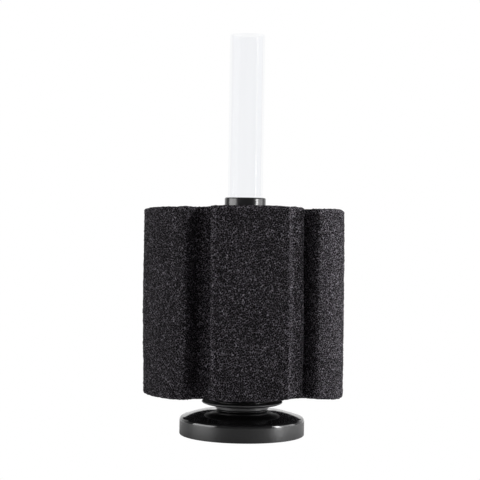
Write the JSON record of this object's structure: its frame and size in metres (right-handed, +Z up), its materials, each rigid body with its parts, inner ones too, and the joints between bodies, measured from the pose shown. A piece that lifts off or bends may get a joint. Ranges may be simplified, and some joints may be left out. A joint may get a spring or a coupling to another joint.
{
  "type": "air-driven aquarium sponge filter",
  "caption": "Free-standing sponge filter: weighted round base, slotted strainer tube inside a lobed foam sleeve, and a clear lift tube raised by air bubbles.",
  "frame": {"origin": "on the common axis of the base and lift tube, at the height of the soles of the foot pads", "axes": "+Z up along the lift tube; -Y is the front, through the middle of one lobe of the sponge"},
  "size_m": [0.146, 0.1444, 0.2918],
  "materials": {
    "base_plastic": "high gloss black moulding",
    "hub_plastic": "semi-gloss black moulding",
    "collar_plastic": "high gloss black moulding",
    "strainer_plastic": "satin black moulding",
    "plate_plastic": "fine-grained satin black",
    "nozzle_plastic": "satin dark grey",
    "foam": "open-cell charcoal foam",
    "clear_tube": "clear extruded tube",
    "rubber": "matt black rubber",
    "pad_rubber": "matt black soft pad",
    "weight_iron": "painted casting",
    "screw_steel": "stainless steel"
  },
  "bodies": {
    "base": {"base_shell": "base_plastic", "base_weight": "weight_iron", "base_plate": "plate_plastic", "base_screw_1": "screw_steel", "base_screw_2": "screw_steel", "base_screw_3": "screw_steel", "base_screw_4": "screw_steel", "foot_pad_1": "pad_rubber", "foot_pad_2": "pad_rubber", "foot_pad_3": "pad_rubber", "foot_pad_4": "pad_rubber"},
    "spigot_ring": {"spigot_o_ring": "rubber"},
    "strainer": {"lower_hub": "hub_plastic", "air_nozzle": "nozzle_plastic", "nozzle_gasket": "rubber", "strainer_cage": "strainer_plastic"},
    "sponge": {"foam_sponge": "foam"},
    "collar": {"top_collar": "collar_plastic", "tube_grip_ring": "rubber"},
    "lift_tube": {"lift_tube": "clear_tube"}
  },
  "joints": [
    {"name": "hub_pull", "type": "slide", "parent": "base", "child": "spigot_ring", "axis": [0, 0, 1], "range_m": [0, 0.025]},
    {"name": "strainer_swivel", "type": "hinge", "parent": "spigot_ring", "child": "strainer", "pos_m": [0, 0, 0.014], "axis": [0, 0, 1], "continuous": true},
    {"name": "sponge_slide", "type": "slide", "parent": "strainer", "child": "sponge", "axis": [0, 0, 1], "range_m": [0, 0.27]},
    {"name": "collar_pull", "type": "slide", "parent": "strainer", "child": "collar", "axis": [0, 0, 1], "range_m": [0, 0.02]},
    {"name": "lift_tube_slide", "type": "slide", "parent": "collar", "child": "lift_tube", "axis": [0, 0, 1], "range_m": [0, 0.03]}
  ]
}
